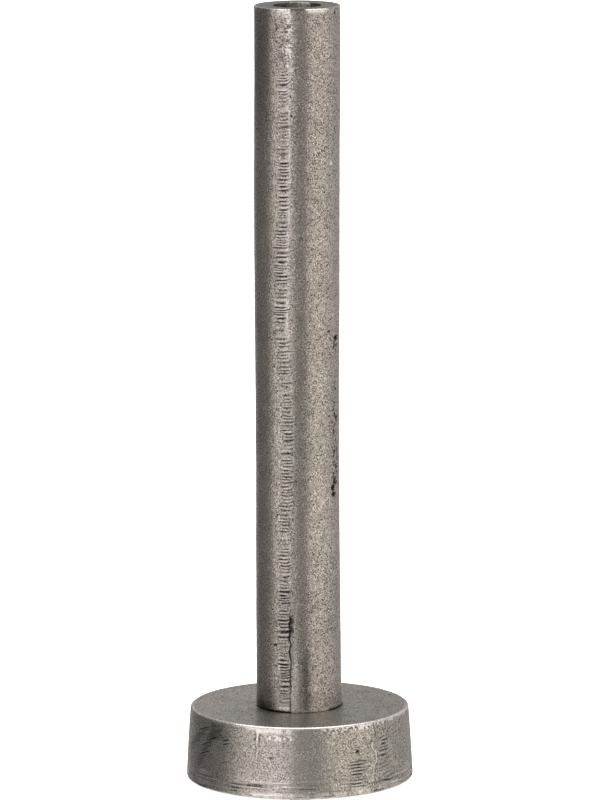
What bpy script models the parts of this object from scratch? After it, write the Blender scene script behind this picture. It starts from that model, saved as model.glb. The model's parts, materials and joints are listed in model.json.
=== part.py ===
"""Cast aluminium candlestick: a round stem with a candle socket, bolted down on a dished base by a stud.

Metres, +Z up. The origin is the middle of the footprint, on the surface that the felt pads stand on.
The front is -Y and the spring washer's slit faces +X.
"""

import math

import bmesh
import bpy
from mathutils import Matrix

# Driving dimensions
CAST_HEIGHT = 0.360  # underside of the base casting to the stem's rim
BASE_FOOT_RADIUS = 0.0526  # at the underside, the widest place
BASE_TOP_RADIUS = 0.0504  # the side leans in by its casting draft
BASE_HEIGHT = 0.0334
STEM_RADIUS = 0.01955
STEM_WAIST_DEPTH = 0.00042  # the casting is this much thinner in radius at its waist
STEM_WAIST_HEIGHT = 0.152
STEM_WAIST_SPREAD = 0.070
SOCKET_DIAMETER = 0.0224  # takes the standard 22 mm dinner candle
SOCKET_DEPTH = 0.030
PAD_DIAMETER = 0.0095
PAD_THICKNESS = 0.0015
PAD_COUNT = 4

# Casting details
CONTACT_GAP = 0.0003  # left between pieces that touch
BASE_TOP_EDGE_ROUND = 0.0013
BASE_FOOT_EDGE_ROUND = 0.0016
CAVITY_MOUTH_RADIUS = 0.0410
CAVITY_ROOF_RADIUS = 0.0392
CAVITY_CORNER_ROUND = 0.0040
ROOF_THICKNESS = 0.0070
BOSS_RADIUS = 0.0135
BOSS_DEPTH = 0.0060
BOSS_DRAFT = 0.0006
STEM_RIM_CHAMFER = 0.0006
STEM_FOOT_ROUND = 0.0009
SOCKET_MOUTH_CHAMFER = 0.0004

# M8 fixing. Threads are plain cylinders at the pitch diameter, with the contact gap between male and female.
THREAD_RADIUS = 0.0036
TAPPED_RADIUS = THREAD_RADIUS + CONTACT_GAP
CLEARANCE_HOLE_RADIUS = 0.0045
STUD_ENGAGEMENT = 0.024  # length of stud inside the stem
TAPPED_DEPTH = 0.027
DRILL_POINT_DEPTH = 0.0022
STUD_PROTRUSION = 0.0045  # past the nut
STUD_CHAMFER = 0.0009
NUT_ACROSS_FLATS = 0.013
NUT_HEIGHT = 0.0065
NUT_CHAMFER_ANGLE = math.radians(30)
NUT_FACE_SHARE = 0.96  # the round face inside the chamfer, as a share of the width across flats
WASHER_OUTER_RADIUS = 0.012
WASHER_INNER_RADIUS = 0.0042
WASHER_THICKNESS = 0.0020
SPRING_WASHER_OUTER_RADIUS = 0.0074
SPRING_WASHER_INNER_RADIUS = 0.0041
SPRING_WASHER_THICKNESS = 0.0020
SPRING_WASHER_SLIT = 0.0012
SPRING_WASHER_SLIT_LEAN = math.radians(22)
EDGE_BREAK = 0.0002  # small chamfer on turned and stamped hardware

# Heights worked out from the above
BASE_UNDERSIDE = PAD_THICKNESS + CONTACT_GAP
BASE_TOP = BASE_UNDERSIDE + BASE_HEIGHT
STEM_FOOT = BASE_TOP + CONTACT_GAP
STEM_TOP = BASE_UNDERSIDE + CAST_HEIGHT
SOCKET_FLOOR = STEM_TOP - SOCKET_DEPTH
CAVITY_ROOF = BASE_TOP - ROOF_THICKNESS
BOSS_FACE = CAVITY_ROOF - BOSS_DEPTH
WASHER_TOP = BOSS_FACE - CONTACT_GAP
SPRING_WASHER_TOP = WASHER_TOP - WASHER_THICKNESS - CONTACT_GAP
NUT_TOP = SPRING_WASHER_TOP - SPRING_WASHER_THICKNESS - CONTACT_GAP
NUT_BOTTOM = NUT_TOP - NUT_HEIGHT
STUD_BOTTOM = NUT_BOTTOM - STUD_PROTRUSION
STUD_TOP = STEM_FOOT + STUD_ENGAGEMENT
PAD_CIRCLE_RADIUS = (CAVITY_MOUTH_RADIUS + BASE_FOOT_RADIUS - BASE_FOOT_EDGE_ROUND) / 2

CASTING_SEGMENTS = 64
HARDWARE_SEGMENTS = 32
STEM_BANDS = 14
EDGE_ROUND_STEPS = 4
STEM_FOOT_ROUND_STEPS = 3
NUT_SIDES = 6
CUTTER_PAST = 0.001  # how far a cutter stands out of the piece it cuts
MERGE_DISTANCE = 0.00001
SMOOTH_BELOW = math.radians(35)

MATERIALS = {
    "cast_aluminium": ((0.46, 0.44, 0.41, 1.0), 0.42, 1.0),
    "zinc_plated_steel": ((0.58, 0.58, 0.60, 1.0), 0.32, 1.0),
    "pale_felt": ((0.62, 0.60, 0.56, 1.0), 0.95, 0.0),
}


def clear_scene():
    for obj in list(bpy.data.objects):
        bpy.data.objects.remove(obj)


def new_collection(name):
    collection = bpy.data.collections.new(name)
    bpy.context.scene.collection.children.link(collection)
    return collection


def make_material(piece, kind):
    """One material for each piece, from its kind's colour, roughness and metallic value."""
    colour, roughness, metallic = MATERIALS[kind]
    material = bpy.data.materials.new(f"{piece}_{kind}")
    material.use_nodes = True
    shader = material.node_tree.nodes["Principled BSDF"]
    shader.inputs["Base Color"].default_value = colour
    shader.inputs["Roughness"].default_value = roughness
    shader.inputs["Metallic"].default_value = metallic
    return material


def add_object(name, mesh, collection, location=(0, 0, 0)):
    obj = bpy.data.objects.new(name, mesh)
    obj.location = location
    collection.objects.link(obj)
    return obj


def arc(centre_radius, centre_height, radius, start, end, steps):
    """Points (radius, height) of a fillet, between two angles in degrees, measured from outwards towards up."""
    points = []
    for step in range(steps + 1):
        angle = math.radians(start + (end - start) * step / steps)
        points.append((centre_radius + radius * math.cos(angle), centre_height + radius * math.sin(angle)))
    return points


def turned(name, profile, collection, segments, closed):
    """A turned piece from (radius, height) points that run down its outer side.

    A closed profile makes a ring. An open one starts and ends on the axis.
    """
    mesh = bpy.data.meshes.new(name)
    points = [(radius, 0.0, height) for radius, height in profile]
    edges = [(i, i + 1) for i in range(len(points) - 1)]
    if closed:
        edges.append((len(points) - 1, 0))
    mesh.from_pydata(points, edges, [])
    obj = add_object(name, mesh, collection)
    screw = obj.modifiers.new("turn", "SCREW")
    screw.axis = "Z"
    screw.angle = math.tau
    screw.steps = segments
    screw.render_steps = segments
    screw.use_merge_vertices = True
    screw.merge_threshold = MERGE_DISTANCE
    return obj


def cylinder(name, radius, bottom, top, collection, segments):
    mesh = bpy.data.meshes.new(name)
    builder = bmesh.new()
    bmesh.ops.create_cone(
        builder,
        cap_ends=True,
        segments=segments,
        radius1=radius,
        radius2=radius,
        depth=top - bottom,
        matrix=Matrix.Translation((0, 0, (top + bottom) / 2)),
    )
    builder.to_mesh(mesh)
    builder.free()
    return add_object(name, mesh, collection)


def boolean(obj, other, operation):
    modifier = obj.modifiers.new(operation.lower(), "BOOLEAN")
    modifier.operation = operation
    modifier.solver = "EXACT"
    modifier.object = other


def as_cutter(obj):
    obj.hide_render = True
    obj.display_type = "WIRE"
    return obj


def finish_piece(obj, kind):
    """Bakes the modifiers, so that smooth faces and sharp edges can be set, and gives the piece its material."""
    graph = bpy.context.evaluated_depsgraph_get()
    mesh = bpy.data.meshes.new_from_object(obj.evaluated_get(graph))
    obj.modifiers.clear()
    obj.data = mesh
    mesh.name = obj.name
    mesh.shade_smooth()
    mesh.set_sharp_from_angle(angle=SMOOTH_BELOW)
    mesh.materials.clear()
    mesh.materials.append(make_material(obj.name, kind))
    return obj


def stem_radius(height):
    """The stem's casting narrows to a slight waist. Height is above the base casting's underside."""
    from_waist = (height - STEM_WAIST_HEIGHT) / STEM_WAIST_SPREAD
    return STEM_RADIUS - STEM_WAIST_DEPTH * math.exp(-(from_waist**2))


def make_stem(collection):
    """A cast bar with a bored candle socket in its top and a tapped hole in its foot."""
    socket_radius = SOCKET_DIAMETER / 2
    top_radius = stem_radius(CAST_HEIGHT)
    foot_radius = stem_radius(BASE_HEIGHT)
    profile = [
        (0.0, SOCKET_FLOOR),
        (socket_radius, SOCKET_FLOOR),
        (socket_radius, STEM_TOP - SOCKET_MOUTH_CHAMFER),
        (socket_radius + SOCKET_MOUTH_CHAMFER, STEM_TOP),
        (top_radius - STEM_RIM_CHAMFER, STEM_TOP),
        (top_radius, STEM_TOP - STEM_RIM_CHAMFER),
    ]
    bands_top = STEM_TOP - STEM_RIM_CHAMFER
    bands_bottom = STEM_FOOT + STEM_FOOT_ROUND
    for band in range(1, STEM_BANDS):
        height = bands_top + (bands_bottom - bands_top) * band / STEM_BANDS
        profile.append((stem_radius(height - BASE_UNDERSIDE), height))
    profile += arc(foot_radius - STEM_FOOT_ROUND, bands_bottom, STEM_FOOT_ROUND, 0, -90, STEM_FOOT_ROUND_STEPS)
    profile += [
        (TAPPED_RADIUS, STEM_FOOT),
        (TAPPED_RADIUS, STEM_FOOT + TAPPED_DEPTH),
        (0.0, STEM_FOOT + TAPPED_DEPTH + DRILL_POINT_DEPTH),
    ]
    stem = turned("stem", profile, collection, CASTING_SEGMENTS, closed=False)
    return finish_piece(stem, "cast_aluminium")


def base_side_radius(height):
    """The base's side at a height above the resting surface."""
    share = (height - BASE_UNDERSIDE) / BASE_HEIGHT
    return BASE_FOOT_RADIUS + (BASE_TOP_RADIUS - BASE_FOOT_RADIUS) * share


def make_base(collection):
    """A dished casting with a boss under its roof, where the stud comes through."""
    top_corner = BASE_TOP - BASE_TOP_EDGE_ROUND
    foot_corner = BASE_UNDERSIDE + BASE_FOOT_EDGE_ROUND
    draft_angle = math.degrees(math.atan2(BASE_FOOT_RADIUS - BASE_TOP_RADIUS, BASE_HEIGHT))
    top_round_centre = base_side_radius(top_corner) - BASE_TOP_EDGE_ROUND
    foot_round_centre = base_side_radius(foot_corner) - BASE_FOOT_EDGE_ROUND
    roof_round_centre = CAVITY_ROOF_RADIUS - CAVITY_CORNER_ROUND
    roof_corner = CAVITY_ROOF - CAVITY_CORNER_ROUND
    steps = EDGE_ROUND_STEPS
    profile = [(CLEARANCE_HOLE_RADIUS, BASE_TOP)]
    profile += arc(top_round_centre, top_corner, BASE_TOP_EDGE_ROUND, 90, draft_angle, steps)
    profile += arc(foot_round_centre, foot_corner, BASE_FOOT_EDGE_ROUND, 0, -90, steps)
    profile += [(CAVITY_MOUTH_RADIUS, BASE_UNDERSIDE)]
    profile += arc(roof_round_centre, roof_corner, CAVITY_CORNER_ROUND, 0, 90, steps)
    profile += [
        (BOSS_RADIUS, CAVITY_ROOF),
        (BOSS_RADIUS - BOSS_DRAFT, BOSS_FACE),
        (CLEARANCE_HOLE_RADIUS, BOSS_FACE),
    ]
    base = turned("base", profile, collection, CASTING_SEGMENTS, closed=True)
    return finish_piece(base, "cast_aluminium")


def make_stud(collection):
    """A length of M8 screwed rod, screwed into the stem and standing out below the nut."""
    profile = [
        (0.0, STUD_TOP),
        (THREAD_RADIUS - STUD_CHAMFER, STUD_TOP),
        (THREAD_RADIUS, STUD_TOP - STUD_CHAMFER),
        (THREAD_RADIUS, STUD_BOTTOM + STUD_CHAMFER),
        (THREAD_RADIUS - STUD_CHAMFER, STUD_BOTTOM),
        (0.0, STUD_BOTTOM),
    ]
    stud = turned("threaded_stud", profile, collection, HARDWARE_SEGMENTS, closed=False)
    return finish_piece(stud, "zinc_plated_steel")


def make_nut(collection, cutters):
    """An M8 hexagon nut with its corners chamfered at both ends."""
    corner_radius = NUT_ACROSS_FLATS / 2 / math.cos(math.pi / NUT_SIDES)
    face_radius = NUT_ACROSS_FLATS / 2 * NUT_FACE_SHARE
    envelope_radius = corner_radius + EDGE_BREAK
    shoulder = (envelope_radius - face_radius) * math.tan(NUT_CHAMFER_ANGLE)
    envelope_profile = [
        (0.0, NUT_TOP),
        (face_radius, NUT_TOP),
        (envelope_radius, NUT_TOP - shoulder),
        (envelope_radius, NUT_BOTTOM + shoulder),
        (face_radius, NUT_BOTTOM),
        (0.0, NUT_BOTTOM),
    ]
    envelope = as_cutter(turned("nut_envelope", envelope_profile, cutters, HARDWARE_SEGMENTS, closed=False))
    low = NUT_BOTTOM - CUTTER_PAST
    high = NUT_TOP + CUTTER_PAST
    hole = as_cutter(cylinder("nut_hole", TAPPED_RADIUS, low, high, cutters, HARDWARE_SEGMENTS))
    nut = cylinder("hex_nut", corner_radius, low, high, collection, NUT_SIDES)
    boolean(nut, envelope, "INTERSECT")
    boolean(nut, hole, "DIFFERENCE")
    return finish_piece(nut, "zinc_plated_steel")


def ring_profile(inner, outer, bottom, top):
    """A flat ring's section with its four edges broken."""
    return [
        (inner + EDGE_BREAK, top),
        (outer - EDGE_BREAK, top),
        (outer, top - EDGE_BREAK),
        (outer, bottom + EDGE_BREAK),
        (outer - EDGE_BREAK, bottom),
        (inner + EDGE_BREAK, bottom),
        (inner, bottom + EDGE_BREAK),
        (inner, top - EDGE_BREAK),
    ]


def make_flat_washer(collection):
    bottom = WASHER_TOP - WASHER_THICKNESS
    profile = ring_profile(WASHER_INNER_RADIUS, WASHER_OUTER_RADIUS, bottom, WASHER_TOP)
    washer = turned("flat_washer", profile, collection, HARDWARE_SEGMENTS, closed=True)
    return finish_piece(washer, "zinc_plated_steel")


def make_spring_washer(collection, cutters):
    """A split lock washer, pressed flat by the nut, with its slanted slit facing +X."""
    inner = SPRING_WASHER_INNER_RADIUS
    outer = SPRING_WASHER_OUTER_RADIUS
    bottom = SPRING_WASHER_TOP - SPRING_WASHER_THICKNESS
    profile = ring_profile(inner, outer, bottom, SPRING_WASHER_TOP)
    washer = turned("spring_washer", profile, collection, HARDWARE_SEGMENTS, closed=True)
    mesh = bpy.data.meshes.new("washer_slit")
    builder = bmesh.new()
    bmesh.ops.create_cube(builder, size=1.0)
    length = outer - inner + 2 * CUTTER_PAST
    height = SPRING_WASHER_THICKNESS + 2 * CUTTER_PAST
    bmesh.ops.scale(builder, vec=(length, SPRING_WASHER_SLIT, height), verts=builder.verts)
    builder.to_mesh(mesh)
    builder.free()
    place = ((inner + outer) / 2, 0, (bottom + SPRING_WASHER_TOP) / 2)
    slit = as_cutter(add_object("washer_slit", mesh, cutters, place))
    slit.rotation_euler.x = SPRING_WASHER_SLIT_LEAN
    bpy.context.view_layer.update()
    boolean(washer, slit, "DIFFERENCE")
    return finish_piece(washer, "zinc_plated_steel")


def make_pads(collection):
    """Self-adhesive felt discs on the base's rim, a quarter turn apart."""
    radius = PAD_DIAMETER / 2
    pads = []
    for number in range(PAD_COUNT):
        angle = math.tau * number / PAD_COUNT
        profile = [
            (0.0, PAD_THICKNESS),
            (radius - EDGE_BREAK, PAD_THICKNESS),
            (radius, PAD_THICKNESS - EDGE_BREAK),
            (radius, EDGE_BREAK),
            (radius - EDGE_BREAK, 0.0),
            (0.0, 0.0),
        ]
        pad = turned(f"felt_pad_{number + 1}", profile, collection, HARDWARE_SEGMENTS, closed=False)
        pad.location = (PAD_CIRCLE_RADIUS * math.cos(angle), PAD_CIRCLE_RADIUS * math.sin(angle), 0)
        pads.append(finish_piece(pad, "pale_felt"))
    return pads


def main():
    clear_scene()
    candlestick = new_collection("candlestick")
    cutters = new_collection("cutters")
    make_stem(candlestick)
    make_base(candlestick)
    make_stud(candlestick)
    make_nut(candlestick, cutters)
    make_flat_washer(candlestick)
    make_spring_washer(candlestick, cutters)
    make_pads(candlestick)


main()
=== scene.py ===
"""Looks for the cast metal candlestick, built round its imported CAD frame.

Shapes are worked out in millimetres, and Surface.piece turns them into metres. Up is +Z and the front is -Y.
Angles are in degrees round the vertical axis from the front, positive towards +X. In the names and comments,
"above" is a height over the underside.
"""

import functools
import json
import math

import bpy
import numpy as np
from mathutils import Euler, Matrix, Vector


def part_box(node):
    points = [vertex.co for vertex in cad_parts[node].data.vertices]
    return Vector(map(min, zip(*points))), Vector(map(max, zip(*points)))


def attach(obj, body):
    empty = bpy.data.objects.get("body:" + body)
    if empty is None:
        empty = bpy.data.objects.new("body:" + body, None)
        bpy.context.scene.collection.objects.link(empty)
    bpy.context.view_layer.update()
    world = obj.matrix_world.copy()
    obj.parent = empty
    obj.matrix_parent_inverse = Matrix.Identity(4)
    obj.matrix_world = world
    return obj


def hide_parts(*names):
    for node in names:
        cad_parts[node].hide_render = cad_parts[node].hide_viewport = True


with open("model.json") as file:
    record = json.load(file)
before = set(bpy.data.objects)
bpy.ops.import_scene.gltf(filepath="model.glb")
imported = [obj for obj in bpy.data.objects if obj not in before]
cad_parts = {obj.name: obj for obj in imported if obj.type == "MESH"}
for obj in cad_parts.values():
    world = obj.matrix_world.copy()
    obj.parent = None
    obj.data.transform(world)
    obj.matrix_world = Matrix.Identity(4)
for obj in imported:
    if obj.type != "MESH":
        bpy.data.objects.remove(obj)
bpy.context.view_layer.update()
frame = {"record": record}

MM = 0.001


def in_mm(corners):
    return [np.array(corner) / MM for corner in corners]


# ---- sizes read from the frame
stem_low, stem_high = in_mm(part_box("stem"))
base_low, base_high = in_mm(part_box("base"))
UNDERSIDE = base_low[2]
BASE_TOP = base_high[2]
BASE_HEIGHT = BASE_TOP - UNDERSIDE
BASE_RADIUS = base_high[0]
STEM_FOOT = stem_low[2]
STEM_TOP = stem_high[2]
STEM_RADIUS = stem_high[0]
CAST_HEIGHT = STEM_TOP - UNDERSIDE
SOCKET_RADIUS = 11.2
SOCKET_FLOOR = next(m["pos_m"][2] for m in frame["record"]["mounts"] if m["name"] == "socket_floor") / MM


# ---- number fields
def smoothstep(low, high, value):
    share = np.clip((value - low) / (high - low), 0.0, 1.0)
    return share * share * (3.0 - 2.0 * share)


def window(value, low, high, soft):
    """1 between low and high, fading to 0 over soft on either side."""
    return smoothstep(low - soft, low + soft, value) * (1.0 - smoothstep(high - soft, high + soft, value))


def bell(value, middle, width, power=2):
    """1 at the middle, falling away on both sides over about width."""
    return np.exp(-(((value - middle) / width) ** power))


LATTICE = 32
# The lattice stands askew, so that its repeats don't line up along the stem
LATTICE_TURN = np.array(Euler((0.50, 0.35, 0.20)).to_matrix())
SEED_SHIFT = 0.37


@functools.lru_cache(maxsize=None)
def lattice(seed):
    return np.random.default_rng(seed).uniform(-1.0, 1.0, (LATTICE,) * 3)


def noise3(points, size, seed):
    """Smooth noise from -1 to 1 with features about size across."""
    values = lattice(seed)
    cells = points @ LATTICE_TURN / size + SEED_SHIFT * seed
    corner = np.floor(cells).astype(int)
    share = cells - corner
    share = share * share * (3.0 - 2.0 * share)
    total = np.zeros(points.shape[:-1])
    for steps in np.ndindex(2, 2, 2):
        weight = 1.0
        for axis, step in enumerate(steps):
            weight = weight * (share[..., axis] if step else 1.0 - share[..., axis])
        i, j, k = ((corner[..., axis] + step) % LATTICE for axis, step in enumerate(steps))
        total += weight * values[i, j, k]
    return total


def line_noise(value, size, seed):
    """Smooth noise from -1 to 1 along one line."""
    return noise3(np.stack([value, np.zeros_like(value), np.zeros_like(value)], axis=-1), size, seed)


def patches(points, size, seed, low, high):
    """Patches from 0, where the noise is under low, to 1, where it is over high."""
    return smoothstep(low, high, noise3(points, size, seed))


def stretches(value, size, seed, low, high):
    """Patches along one line."""
    return smoothstep(low, high, line_noise(value, size, seed))


def uneven(points, layers):
    """A sum of noises, each with a height, a size and a seed."""
    return sum(height * noise3(points, size, seed) for height, size, seed in layers)


HASH_COUNT = 997


@functools.lru_cache(maxsize=None)
def hash_table(seed):
    return np.random.default_rng(seed).random(HASH_COUNT)


def hashed(cell, seed):
    """A repeatable random number from 0 to 1 for each whole number."""
    return hash_table(seed)[np.mod(cell.astype(int), HASH_COUNT)]


RIDGE_THICKNESS = 0.20
# A layer of the noise well away from the surfaces, which tears the marks
TORN_LAYER = 1000.0


def chatter(across, along, pitch, length, seed, keep, lean=0.0, hook=0.0, jitter=0.75, thick=0.20):
    """Grinding chatter, short marks one under another: grooves and the ridges between them, each 0 to 1.

    lean tips the marks, in height for each millimetre across, and hook is how far their right ends curl up.
    jitter is how unevenly they are spaced and thick how wide they are, as shares of the pitch.
    """
    curl = hook * np.maximum(across / (0.5 * length), 0.0) ** 2
    wander = noise3(np.stack([across / 2.4, along, np.zeros_like(along)], axis=-1), 1.15 * pitch, seed + 6)
    bent = along - lean * across - curl + 0.22 * pitch * wander
    turns = (bent + jitter * pitch * line_noise(bent, 2.3 * pitch, seed + 5)) / pitch

    def marks(cell, width):
        middle = (hashed(cell, seed + 1) - 0.5) * 0.30 * length
        half = 0.5 * length * (0.60 + 0.50 * hashed(cell, seed + 2))
        depth = (hashed(cell, seed + 3) < keep) * (0.45 + 0.55 * hashed(cell, seed + 4))
        spread = width * (0.70 + 0.60 * hashed(cell, seed + 7))
        return bell(turns, cell, spread) * bell(across, middle, half, power=4) * depth

    flat = np.stack([across, along, np.full_like(along, TORN_LAYER)], axis=-1)
    torn = 0.72 + 0.28 * patches(flat, 0.75, seed + 8, -0.55, 0.15)
    return marks(np.round(turns), thick) * torn, marks(np.floor(turns) + 0.5, RIDGE_THICKNESS) * torn


def dimple(across, along, width, tall, lean=0.0):
    """A round or oval pit from 0 to 1 about the origin."""
    turned_x = across * math.cos(lean) + along * math.sin(lean)
    turned_z = -across * math.sin(lean) + along * math.cos(lean)
    return np.exp(-(((turned_x / (0.5 * width)) ** 2 + (turned_z / (0.5 * tall)) ** 2) ** 1.5))


def around(angle, place):
    """Signed angle from a place, within half a turn."""
    return (angle - place + 180.0) % 360.0 - 180.0


def pits(table, radius, angle, above, ragged):
    """Depth and shape of each pit: angle, height, width, height, depth and tilt."""
    for place, up, width, tall, depth, tilt in table:
        across = np.radians(around(angle, place)) * radius
        yield depth, dimple(across * ragged, (above - up) * ragged, width, tall, tilt)


def added_up(features, angle, above, points):
    """Rise, wear and grime of several features together."""
    return (sum(parts) for parts in zip(*(feature(angle, above, points) for feature in features)))


def pore_patches(porous, angle, above, table):
    """Adds patches of fine pores: angle, height, half width in degrees, half height and share of pores."""
    for place, up, half_angle, half_height, share in table:
        fade = bell(around(angle, place), 0.0, half_angle) * bell(above, up, half_height)
        porous = np.maximum(porous, share * fade)
    return porous


# ---- meshes
def spaced_angles(spans):
    """Column angles from spans of (start, end, count), each leaving its own end out."""
    return np.concatenate([np.linspace(start, end, count, endpoint=False) for start, end, count in spans])


def ring_points(radius, angle, height):
    turn = np.radians(angle)
    return np.stack(np.broadcast_arrays(radius * np.sin(turn), -radius * np.cos(turn), height), axis=-1)


def turned(ring):
    """A ring of point numbers moved on by one column."""
    return [*ring[1:], *ring[:1]]


class Surface:
    """Points with their shares of wear, grime and open pores, and the faces between them. The wear and grime
    shares also carry painted highlights and painted shade.
    """

    def __init__(self):
        self.points = []
        self.shares = []
        self.faces = []
        self.count = 0

    def add(self, points, wear_and_highlight=0.0, grime_and_shade=0.0, porous=0.0):
        """Adds a run of points and gives their numbers."""
        numbers = range(self.count, self.count + len(points))
        self.points.append(points)
        shares = np.broadcast_arrays(wear_and_highlight, grime_and_shade, porous, np.zeros(len(points)))[:3]
        self.shares.append(np.clip(np.stack(shares, axis=-1), 0.0, 1.0))
        self.count = numbers.stop
        return numbers

    def join(self, rings):
        """Faces between closed rings that run down an outer wall."""
        for upper, lower in zip(rings, rings[1:]):
            self.faces += zip(upper, lower, turned(lower), turned(upper))

    def fan(self, ring, tip):
        """Closes a ring at one point."""
        self.faces += ((here, after, tip[0]) for here, after in zip(ring, turned(ring)))

    def piece(self, name, keys=("wear_and_highlight", "grime_and_shade", "porous")):
        mesh = bpy.data.meshes.new(name)
        mesh.from_pydata((np.concatenate(self.points) * MM).tolist(), [], self.faces)
        mesh.validate()
        shares = np.concatenate(self.shares).astype(np.float32)
        for index, key in enumerate(keys):
            mesh.attributes.new(key, "FLOAT", "POINT").data.foreach_set("value", shares[:, index].copy())
        mesh.shade_smooth()
        mesh.update()
        piece = bpy.data.objects.new(name, mesh)
        bpy.context.scene.collection.objects.link(piece)
        return piece


# ---- the stem
STEM_SWELL = 0.20
STEM_WAIST_DEPTH = 0.42
STEM_WAIST_HEIGHT = 152
STEM_WAIST_SPREAD = 70
STEM_FLARE = 0.30
STEM_FLARE_HEIGHT = 4.5
STEM_SEAT = BASE_TOP + 0.05
STEM_SKIN = ((0.062, 14, 11), (0.032, 5.5, 12), (0.018, 2.3, 13), (0.016, 1.15, 15))

# The ground parting strip wanders: height above the underside, angle of its middle, length of its marks
STRIP_PATH = [(33, -19.3, 5.5), (48, -20, 5.8), (62, -21, 6.6), (76, -20.4, 6), (90, -19.4, 5.2)]
STRIP_PATH += [(110, -18.3, 5.8), (129, -18.3, 6), (137, -15.6, 6), (150, -13.6, 6), (172, -13.4, 6)]
STRIP_PATH += [(184, -14.2, 5), (192, -17.6, 7.2), (205, -20, 8), (216, -21.8, 7.4), (243, -22, 7.2)]
STRIP_PATH += [(252, -21, 7), (262, -18.4, 5), (290, -18.2, 5.4), (306, -18, 6), (360, -18.5, 6.2)]
STRIP_HALF = 2.75
STRIP_PITCH = 1.62

# Open pores: angle, height above the underside, width, height, depth and tilt
STEM_PITS = [
    (48.6, 211, 1.3, 1.3, 0.7, 0), (65.6, 207.2, 3.3, 2.7, 1.2, 0.2), (61, 205.2, 1.4, 1.1, 0.6, 0),
    (60.5, 203.4, 1.2, 3, 0.8, -0.9), (67.5, 204.1, 1.4, 1.5, 0.7, -0.6), (64.3, 201.6, 0.8, 1.2, 0.5, 0),
    (52, 207.8, 0.6, 0.5, 0.3, 0), (57, 208, 0.6, 0.6, 0.3, 0), (66, 183.5, 1, 1.1, 0.6, 0),
    (48.9, 171.5, 1, 0.9, 0.5, 0), (68.5, 169.5, 1.7, 3.6, 0.9, 0), (66, 159.4, 0.9, 1.2, 0.5, 0.3),
    (70, 155.4, 1, 1.6, 0.6, -0.2), (65.5, 147.6, 0.8, 1.4, 0.5, 0.2), (68, 139.7, 1.1, 1.5, 0.6, -0.5),
    (62.4, 140.6, 2.2, 3, 1, -0.7), (58.6, 137.6, 3.4, 2.8, 1.1, 0.3), (60.4, 134.4, 3, 2.5, 1.1, 0),
    (-7.6, 311.5, 0.8, 0.9, 0.4, 0), (-9, 320.2, 0.6, 0.7, 0.3, 0), (6.1, 254.9, 0.7, 0.7, 0.3, 0),
    (60.5, 357.4, 1.2, 1.3, 0.8, 0), (22.5, 205, 0.6, 0.6, 0.3, 0), (-46.5, 180, 0.6, 0.8, 0.3, 0),
    (118, 292, 1.2, 1.4, 0.6, 0), (131, 286.5, 1.6, 1.9, 0.8, 0.4), (126, 279, 0.9, 1.1, 0.5, 0),
    (163, 96, 1.4, 1.2, 0.7, 0), (171, 91, 1, 1.6, 0.6, 0.5), (-128, 232, 1.3, 1.4, 0.6, 0),
    (-119, 227.5, 0.9, 0.9, 0.4, 0), (-141, 61, 1.5, 1.9, 0.8, -0.4), (-102, 118, 0.9, 1, 0.4, 0),
]
STEM_PORE_PATCHES = [
    (63, 186, 13, 14, 0.60), (62, 150, 13, 14, 0.95), (60, 170, 12, 28, 0.64), (58, 136, 10, 7, 0.55),
    (52, 76, 14, 10, 0.50), (52, 96, 18, 14, 0.50), (24, 352, 9, 8, 0.45), (-58, 330, 9, 7, 0.45),
    (128, 286, 18, 16, 0.7), (-132, 222, 20, 26, 0.6), (168, 88, 16, 22, 0.7),
]
# Bright nicks and rubs, with the same columns as the pits
STEM_NICKS = [
    (51.5, 288.6, 2, 3, 0.03, 0.5), (40.5, 189.5, 1.6, 1.2, 0.03, 0), (23.6, 245, 0.9, 0.9, 0.03, 0),
    (24.4, 136.2, 1.3, 2.2, 0.03, -0.5), (36.5, 131, 0.9, 4.6, 0.03, -0.8), (34, 128.6, 0.6, 3.2, 0.03, -0.8),
    (61, 249, 1.2, 0.8, 0.03, 0), (-27.2, 55.5, 1, 10, 0.03, 0), (-47, 292, 0.8, 3.4, 0.03, 0),
    (140, 170, 1, 5, 0.03, 0.6), (-110, 300, 1.2, 3, 0.03, -0.4),
]
# A cold shut up the lower end of the strip: height above the underside, and angle
CRACK_PATH = [(33, -11.6), (41, -11.6), (46, -11), (52, -11.6), (56.5, -10.3), (61, -12.2), (64, -11.6)]
CRACK_PATH += [(66, -10.2), (68.5, -13), (72, -11.8), (74.5, -12.6), (77, -11.9), (80, -12.3)]


def along_path(path, above, column):
    """A column of a path's table, read off at heights above the underside."""
    return np.interp(above, [row[0] for row in path], [row[column] for row in path])


def stem_lean(above):
    """How far the casting's axis stands off to +X."""
    top = 0.62 * smoothstep(262, 352, above)
    return top + 0.20 * np.sin((above - 215) / 429 * math.tau) - 0.04


def stem_wall_radius(above):
    """The wall's radius before any detail."""
    waist = STEM_WAIST_DEPTH * bell(above, STEM_WAIST_HEIGHT, STEM_WAIST_SPREAD)
    flare = STEM_FLARE * np.exp(-(above - (STEM_FOOT - UNDERSIDE)) / STEM_FLARE_HEIGHT)
    return STEM_RADIUS + STEM_SWELL - waist + flare


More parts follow.
